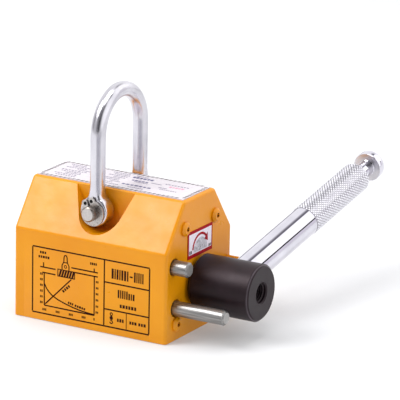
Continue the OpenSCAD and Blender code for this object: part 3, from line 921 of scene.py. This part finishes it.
def front_frame(ink):
    """The ruled frame of the front print and its divisions, in mm of X and Z."""
    left, right, low, high, split = -34.6, 36.0, 3.8, 39.5, 9.0
    thick = 0.74
    for z in (low, high):
        ink.bar(left, z - thick / 2, right, z + thick / 2)
    for x in (left, split, right):
        ink.bar(x - thick / 2, low + thick / 2, x + thick / 2, high - thick / 2)
    for z in (27.6, 13.1):
        ink.bar(split + thick / 2, z - thick / 2, right - thick / 2, z + thick / 2)
    ink.bar(22.3, low + thick / 2, 22.7, 13.1 - thick / 2)


def front_chart(ink):
    """The lifting chart: axes, two curves and block marks in place of figures."""
    fine = 0.68
    ink.line([(-27.5, 26.0), (-27.3, 8.4)], fine)
    ink.line([(-27.3, 8.4), (3.2, 8.3)], fine)
    ink.line([(3.0, 29.6), (3.1, 8.3)], fine)
    rules = ((-30.0, -20.6, 29.0), (-28.6, -20.6, 26.1), (-10.9, 5.1, 31.6), (-8.6, 5.1, 29.4))
    for u0, u1, z in rules:
        ink.line([(u0, z), (u1, z)], fine)
    ink.line([(-27.9, 29.2), (-27.9, 31.6)], fine)
    ink.line([(2.9, 31.8), (2.9, 33.6)], fine)
    ink.line([(-26.8, 9.2), (-10.9, 25.2)], fine)
    falling = [(-27.2, 20.0), (-26.0, 17.8), (-24.4, 16.0), (-22.6, 14.6), (-19.2, 12.9)]
    falling += [(-15.2, 11.6), (-10.2, 10.3), (-4.7, 9.3), (3.2, 8.6)]
    ink.line(falling, fine)
    for z in (24.6, 21.6, 18.5, 15.4, 12.3, 9.2):
        ink.blocks(-29.9, z, 1.5, 1.2, (1, 1))
    for z in (26.0, 22.7, 19.5, 16.2, 12.8, 9.6):
        ink.blocks(4.0, z, 1.5, 1.1, (1.2, 1))
    for x in (-28.4, -20.3, -12.2, -4.4):
        ink.blocks(x, 5.5, 2.3, 1.2, (1, 0.8, 1))
    ink.blocks(2.8, 5.5, 0.6, 1.4, (1,))
    ink.blocks(-30.1, 36.2, 3.7, 1.3, (1, 1.3, 1))
    ink.blocks(-31.0, 33.8, 6.6, 1.3, (1, 1, 1.3, 1, 1.2))
    ink.blocks(0.4, 35.3, 4.0, 1.3, (1, 1.2, 1, 1))
    ink.blocks(-15.6, 17.2, 5.6, 1.4, (1.1, 1, 1.2, 1), 43)
    ink.blocks(-12.9, 11.8, 3.2, 1.2, (1, 1, 1), -10)
    ink.blocks(-8.8, 11.0, 6.4, 1.2, (1.1, 1, 1.2, 1, 1), -10)


def front_signs(ink):
    """A plain lifter over a hatched load, a hook, and heavy blocks in place of figures."""
    fine = 0.62
    lifter = [(-16.6, 29.8), (-16.6, 32.0), (-15.6, 33.8), (-15.4, 36.6), (-14.9, 37.5)]
    lifter += [(-14.1, 37.5), (-13.6, 36.6), (-13.4, 33.8), (-12.4, 32.0), (-12.4, 29.8)]
    ink.line(lifter, fine)
    ink.sector(-14.5, 31.4, 0.5, 0.95, 0, 360, 20)
    ink.bar(-15.6, 33.4, -13.4, 33.9)
    left, right, low, high = -19.4, -8.7, 25.5, 29.7
    rule = 0.5
    for z in (low, high - rule):
        ink.bar(left, z, right, z + rule)
    for x in (left, right - rule):
        ink.bar(x, low + rule, x + rule, high - rule)
    foot, head = low + rule, high - rule
    for index in range(6):
        u = left + 0.7 + index * 1.55
        ink.fill([(u, foot), (u + 1.1, foot), (u + 2.05, head), (u + 0.95, head)])
    ink.blocks(13.4, 30.1, 10.0, 5.4, (1.2, 0.7, 1.1, 0.7, 1.1, 1.2, 0.8), gap=0.55)
    ink.bar(24.2, 32.4, 26.0, 33.2)
    ink.blocks(26.8, 30.3, 5.6, 5.4, (0.9, 0.6, 0.7, 0.6, 0.7), gap=0.5)
    ink.blocks(17.2, 20.3, 5.9, 4.4, (0.9, 0.65, 0.8, 0.65, 0.8), gap=0.5)
    ink.blocks(23.6, 20.3, 3.6, 3.4, (0.8, 0.6, 0.9), gap=0.45)
    ink.blocks(18.5, 15.2, 9.8, 1.8, (1, 1.2, 1, 1, 1.2, 1))
    ink.sector(13.5, 10.9, 0.45, 0.95, 0, 360, 20)
    ink.fill([(13.0, 10.0), (12.4, 8.9), (12.9, 7.8), (14.1, 7.8), (14.6, 8.9), (14.0, 10.0)])
    ink.sector(13.5, 6.6, 0.5, 1.05, -180, 130, 20)
    ink.blocks(17.0, 7.4, 3.9, 1.8, (1, 1.2, 1))
    ink.blocks(24.4, 7.4, 4.2, 1.6, (1, 1, 1.2))
    ink.blocks(29.8, 7.4, 4.3, 1.6, (1, 1, 1.2))


def front_print():
    ink = Print((0, FRONT_Y, 0), (1, 0, 0), (0, 0, 1))
    front_frame(ink)
    front_chart(ink)
    front_signs(ink)
    ink.done("front_print", INK)


def end_label():
    """The turn arrow label: a white field, a grey half disc, a red arc arrow, dark marks."""
    over_field = 0.05
    origin, across, up = (LABEL_X, 0, 0), (0, 1, 0), (0, 0, 1)
    y0, y1 = LABEL_Y
    z0, z1 = LABEL_Z
    middle, foot = (y0 + y1) / 2 + 0.2, z0 + 2.6
    field = Print(origin, across, up)
    field.bar(y0 + 1.1, z0 + 2.0, y1 - 1.1, z1 - 1.5)
    field.done("label_field", LABEL_WHITE)
    disc = Print(origin, across, up, over_field)
    disc.sector(middle, foot, 0, 6.8, 0, 180)
    disc.done("label_half_disc", LABEL_GREY)
    arc = Print(origin, across, up, over_field)
    centre_z = foot + 1.1
    arc.sector(middle, centre_z, 7.0, 8.3, 42, 176)
    head, tip = math.radians(44), math.radians(15)
    near, far, reach = 5.3, 9.9, 7.9
    arc.fill([(middle + far * math.cos(head), centre_z + far * math.sin(head)),
              (middle + near * math.cos(head), centre_z + near * math.sin(head)),
              (middle + reach * math.cos(tip), centre_z + reach * math.sin(tip))])
    arc.done("label_arrow", MATERIALS["label_red"])
    marks = Print(origin, across, up, over_field)
    marks.blocks(y0 + 1.6, z0 + 2.5, 2.4, 1.7, (1, 0.8))
    marks.blocks(y1 - 3.9, z0 + 2.3, 2.4, 1.4, (0.8, 0.8, 0.6))
    for step in range(5):
        marks.sector(middle - 4 + 2 * step, foot + 1.6 + 0.5 * (step % 2), 0, 0.3, 0, 360, 8)
    marks.done("label_marks", LABEL_DARK)


def plate_border(dash):
    """Slanted dashes along all four edges of the top plate."""
    margin = 0.4
    x0, x1 = PLATE_X[0] + margin, PLATE_X[1] - margin
    y0, y1 = PLATE_Y[0] + margin, PLATE_Y[1] - margin
    deep, long, pitch = 1.5, 1.5, 2.7
    lean = 0.9
    for index in range(int((x1 - x0 - 2) / pitch)):
        u = x0 + 0.6 + index * pitch
        for v in (y0, y1 - deep):
            dash.fill([(u, v), (u + long, v), (u + long + lean, v + deep), (u + lean, v + deep)])
    lean = 0.7
    for index in range(int((y1 - y0 - 2 * deep) / pitch)):
        v = y0 + deep + 0.5 + index * pitch
        for u in (x0, x1 - deep):
            dash.fill([(u, v), (u + deep, v + lean), (u + deep, v + lean + long), (u, v + long)])


def top_marks():
    """The top plate's border and its faint rows of marks."""
    origin, across, up = (0, 0, PLATE_Z), (1, 0, 0), (0, 1, 0)
    dash = Print(origin, across, up)
    plate_border(dash)
    dash.done("plate_border", PLATE_DASH)
    grey = Print(origin, across, up)
    for v, rows in ((9.6, ((-38, 9), (-12, 10), (2, 7))), (7.2, ((-36, 14), (-10, 9))),
                    (4.8, ((-38, 12), (-12, 11), (22, 14))), (2.4, ((-30, 8), (-8, 7), (15, 6))),
                    (0.0, ((-38, 15), (-12, 9), (6, 8))), (-2.4, ((-37, 12), (-10, 8), (22, 5))),
                    (-4.8, ((-33, 9), (-6, 6), (24, 10))), (-7.2, ((-38, 13), (-12, 9))),
                    (-9.8, ((-36, 12), (-6, 8), (8, 9)))):
        for u, length in rows:
            grey.blocks(u, v, length, 0.9, [1, 1.4, 0.9, 1.2] * 2, gap=0.6)
    grey.done("plate_marks_grey", PLATE_GREY)
    blue = Print(origin, across, up)
    blue.blocks(1.5, 6.2, 12.0, 2.2, (1, 1.2, 1, 1.3, 1, 1.2))
    blue.blocks(3.5, 1.8, 9.5, 1.4, (1, 1.2, 1, 1.3, 1))
    blue.blocks(2.5, -6.6, 17.0, 1.6, (1, 1.2, 1, 1.3, 1, 1, 1.2))
    blue.done("plate_marks_blue", PLATE_BLUE)
    pink = Print(origin, across, up)
    pink.blocks(26.4, 0.9, 8.4, 2.0, (1.1, 0.8, 1, 0.8, 1.1), gap=0.6)
    pink.done("plate_marks_pink", PLATE_PINK)


# ---- Studio ----


def floor():
    bm = bmesh.new()
    bmesh.ops.create_circle(bm, cap_ends=True, radius=5.0, segments=96)
    bmesh.ops.translate(bm, verts=bm.verts, vec=(0, 0, CAD_BOX[0].z - 0.0002))
    mesh = finish_mesh(bm, "floor")

    def recipe(g, where, surface):
        share = g.noise(where, 30, 2)
        g.put(surface, "Base Color", g.blend(share, (0.575, 0.58, 0.59, 1), (0.595, 0.6, 0.61, 1)))

    mesh.materials.append(material("floor_paper", recipe, Roughness=0.9, Specular_IOR_Level=0.1,
                                   Emission_Color=(1, 1, 1, 1), Emission_Strength=0.22))
    made = bpy.data.objects.new("floor", mesh)
    bpy.context.scene.collection.objects.link(made)


def softbox(name, way, distance, size, power, target=(0.02, 0, 0.04)):
    """An area light of that size in metres, at a distance along a direction, facing the object."""
    data = bpy.data.lights.new(name, "AREA")
    data.shape = "RECTANGLE"
    data.size, data.size_y = size
    data.energy = power
    lamp = bpy.data.objects.new(name, data)
    bpy.context.scene.collection.objects.link(lamp)
    way = Vector(way).normalized()
    lamp.location = Vector(target) + way * distance
    lamp.rotation_mode = "QUATERNION"
    lamp.rotation_quaternion = way.to_track_quat("Z", "Y")
    return lamp


def card(name, centre, size, facing, shade=0.02):
    """A grey studio card that only reflections see, so bright metal gets its dark streaks."""
    bm = bmesh.new()
    bmesh.ops.create_grid(bm, x_segments=1, y_segments=1, size=0.5)
    mesh = finish_mesh(bm, name)

    def recipe(g, where, surface):
        g.put(surface, "Base Color", (shade, shade, shade * 1.1, 1))

    mesh.materials.append(material(name, recipe, Roughness=0.9))
    made = bpy.data.objects.new(name, mesh)
    bpy.context.scene.collection.objects.link(made)
    made.location = centre
    made.rotation_mode = "QUATERNION"
    made.rotation_quaternion = Vector(facing).to_track_quat("Z", "Y")
    made.scale = (size[0], size[1], 1)
    made.visible_camera = False
    made.visible_diffuse = False
    made.visible_shadow = False


def lobe(g, way, centre, inner, outer):
    """1 within inner degrees of a direction, fading to 0 at outer degrees."""
    inputs = {0: way, 1: Vector(centre).normalized()}
    facing = g.add("VectorMath", inputs, operation="DOT_PRODUCT").outputs["Value"]
    return g.level(facing, math.cos(math.radians(outer)), math.cos(math.radians(inner)))


# Direction, full and fading radius in degrees, and colour of each patch of the room
ROOM = (
    ((1.0, 0.1, 0.25), 25, 55, (1.4, 1.4, 1.42, 1)),
    ((-0.5, -0.82, 0.14), 18, 30, (0.6, 0.6, 0.62, 1)),
    ((0.46, -0.86, 0.16), 9, 13, (0.02, 0.019, 0.022, 1)),
    ((0.46, -0.78, 0.4), 9, 13, (0.02, 0.019, 0.022, 1)),
    ((0.47, -0.64, 0.6), 8, 12, (0.02, 0.019, 0.022, 1)),
    ((0.48, -0.35, 0.8), 7, 11, (0.02, 0.019, 0.022, 1)),
    ((0.48, 0.1, 0.86), 6, 10, (0.1, 0.098, 0.11, 1)),
    ((0.05, 0.64, 0.77), 4, 15, (0.2, 0.19, 0.22, 1)),
    ((0.45, 0.68, 0.58), 22, 25, (1.5, 1.5, 1.5, 1)),
    ((-0.62, 0.73, 0.05), 3, 8, (0.3, 0.29, 0.33, 1)),
    ((0.62, 0.73, 0.12), 7, 11, (0.84, 0.8, 0.88, 1)),
    ((0.62, 0.73, 0.27), 3.0, 4.2, (0.0, 0.0, 0.0, 1)),
)


def world():
    """A pale room, brighter behind the object, with the patches that bright metal reflects."""
    made = bpy.data.worlds.new("studio")
    made.use_nodes = True
    bpy.context.scene.world = made
    g = Graph(made.node_tree)
    way = g.add("TexCoord").outputs["Generated"]
    behind = g.level(g.add("SeparateXYZ", {0: way}).outputs[1], -0.5, 0.3)
    colour = g.blend(behind, (0.2, 0.2, 0.215, 1), (1.12, 1.12, 1.14, 1))
    for centre, inner, outer, tone in ROOM:
        colour = g.blend(lobe(g, way, centre, inner, outer), colour, tone)
    seen = g.add("LightPath").outputs["Is Camera Ray"]
    colour = g.blend(seen, colour, (1.05, 1.05, 1.05, 1))
    light = g.add("Background", {"Color": colour})
    g.add("OutputWorld", {"Surface": light.outputs[0]})


def camera():
    """The photograph's viewpoint, fitted to the object's edges."""
    azimuth, elevation, roll = math.radians(29.84), math.radians(16.47), math.radians(1.13)
    target, distance = Vector((0.0457, 0.0, 0.0692)), 1.7914
    level = math.cos(elevation)
    back = Vector((math.sin(azimuth) * level, -math.cos(azimuth) * level, math.sin(elevation)))
    right = (-back).cross(Vector((0, 0, 1))).normalized()
    up = right.cross(-back)
    right, up = (right * math.cos(roll) + up * math.sin(roll),
                 up * math.cos(roll) - right * math.sin(roll))
    data = bpy.data.cameras.new("photo_view")
    data.sensor_width = 36
    data.lens = 314.8
    data.clip_start, data.clip_end = 0.05, 50
    made = bpy.data.objects.new("photo_view", data)
    bpy.context.scene.collection.objects.link(made)
    axes = Matrix((right, up, back)).transposed().to_4x4()
    made.matrix_world = Matrix.Translation(target + back * distance) @ axes
    bpy.context.scene.camera = made


def studio():
    world()
    floor()
    softbox("key", (-0.47, -0.47, 0.75), 1.9, (0.9, 0.9), 25)
    softbox("top", (0.0, -0.05, 1.0), 2.0, (1.5, 1.5), 15)
    card("dark_floor_card", (0.52, -0.425, 0.002), (0.96, 0.53), (0, 0, 1), 0.34)
    bpy.context.scene.view_settings.view_transform = "Standard"


camera()
dress_cad_nodes()
for painted in ("front_pole", "rear_pole", "drive_cover", "tail_cover"):
    soft_edged(painted)
handle_rod()
shackle()
hub_thread()
catch_spring()
soft_edged("retaining_rings", 0.14, "ring_steel")
ring_eye_shade_cups()
socket_shade_cups("drive_socket_shade_cups", span("drive_cover_screws", 0)[1], 1)
socket_shade_cups("tail_socket_shade_cups", span("tail_cover_screws", 0)[0], -1)
front_print()
end_label()
top_marks()
studio()
